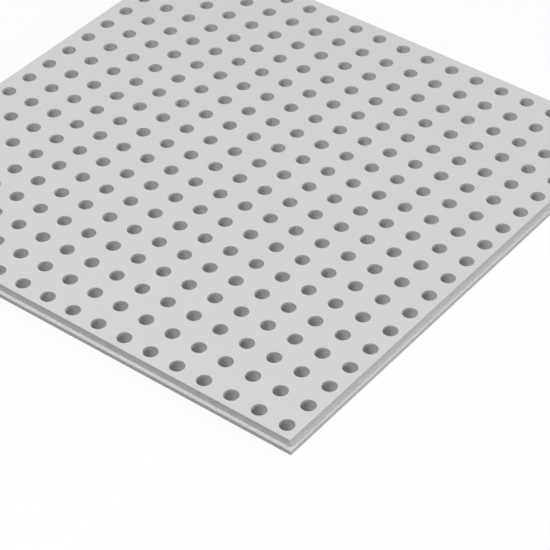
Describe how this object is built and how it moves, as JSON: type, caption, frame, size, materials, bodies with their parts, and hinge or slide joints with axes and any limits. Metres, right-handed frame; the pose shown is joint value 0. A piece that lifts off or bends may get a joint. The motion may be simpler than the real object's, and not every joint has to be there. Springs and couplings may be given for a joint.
{
  "type": "perforated gypsum board",
  "caption": "Flat gypsum board with a square grid of round through holes and a stepped edge that laps with the next board.",
  "frame": {"origin": "on the underside of the board, below the middle of its overall outline, lip included", "axes": "+Z out of the visible face, +X and +Y towards the two sides where the face overhangs, so the two lips lie at -X and -Y"},
  "size_m": [0.5432, 0.5432, 0.0125],
  "materials": {
    "primed_board": "matte"
  },
  "bodies": {
    "root": {"perforated_board": "primed_board"}
  },
  "joints": []
}
